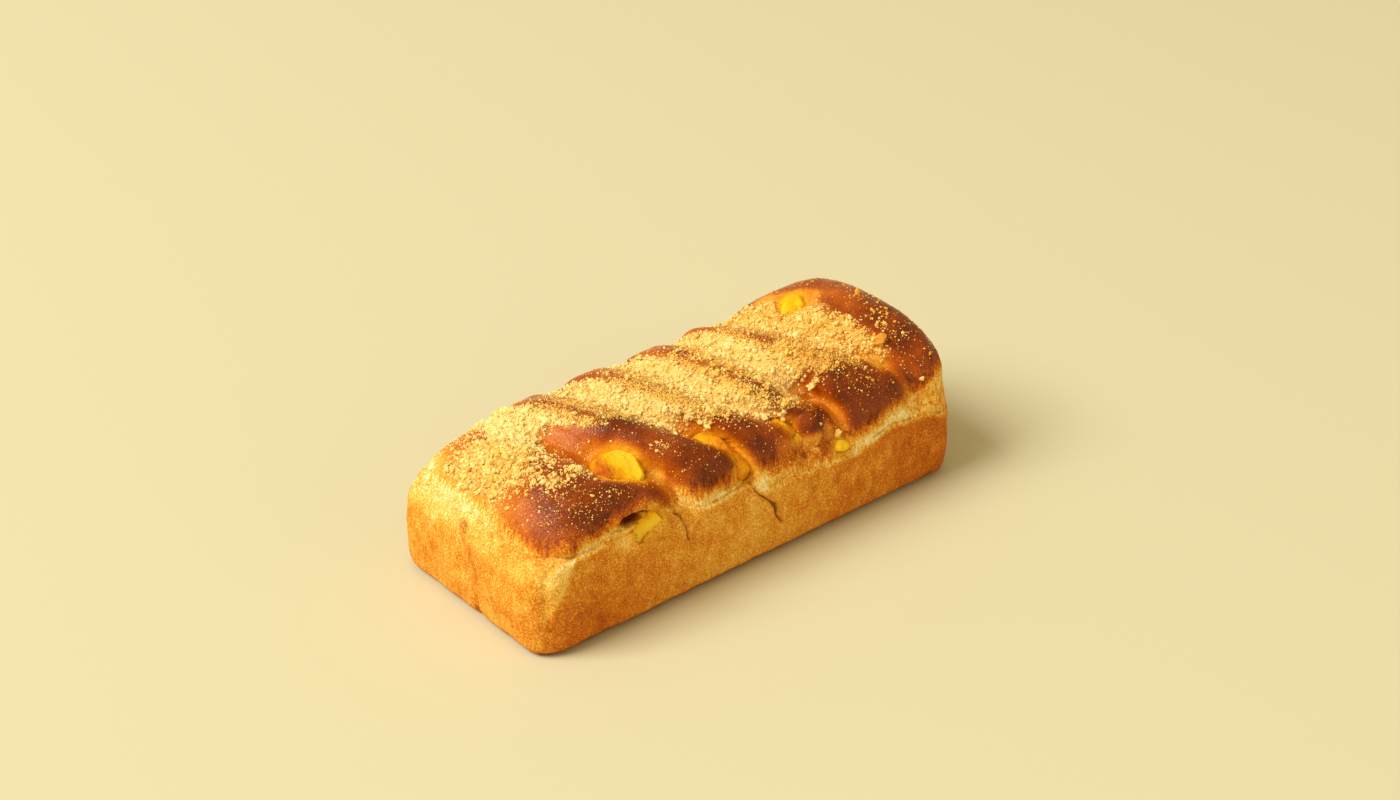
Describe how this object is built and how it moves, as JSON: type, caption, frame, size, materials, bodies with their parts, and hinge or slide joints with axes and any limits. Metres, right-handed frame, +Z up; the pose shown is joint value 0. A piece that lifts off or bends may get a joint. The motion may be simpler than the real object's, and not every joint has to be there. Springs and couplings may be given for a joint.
{
  "type": "chestnut bread",
  "caption": "Tin-baked chestnut loaf with slanting slashed strands on its domed top, chestnut pieces showing in the gaps and streusel crumbs on a glossy brown crust.",
  "frame": {"origin": "middle of the flat bottom", "axes": "+X along the loaf towards its tall end, +Y across it towards the back, +Z up"},
  "size_m": [0.2252, 0.0982, 0.0742],
  "materials": {
    "crust": "baked crust, egg-washed and softly glossy on top, matt and golden on the walls",
    "chestnut": "candied chestnut, moist and slightly glossy",
    "streusel": "dry crumbly butter streusel"
  },
  "bodies": {
    "root": {"loaf": "crust", "chestnut_1": "chestnut", "chestnut_2": "chestnut", "chestnut_3": "chestnut", "chestnut_4": "chestnut", "chestnut_5": "chestnut", "chestnut_6": "chestnut"}
  },
  "joints": []
}
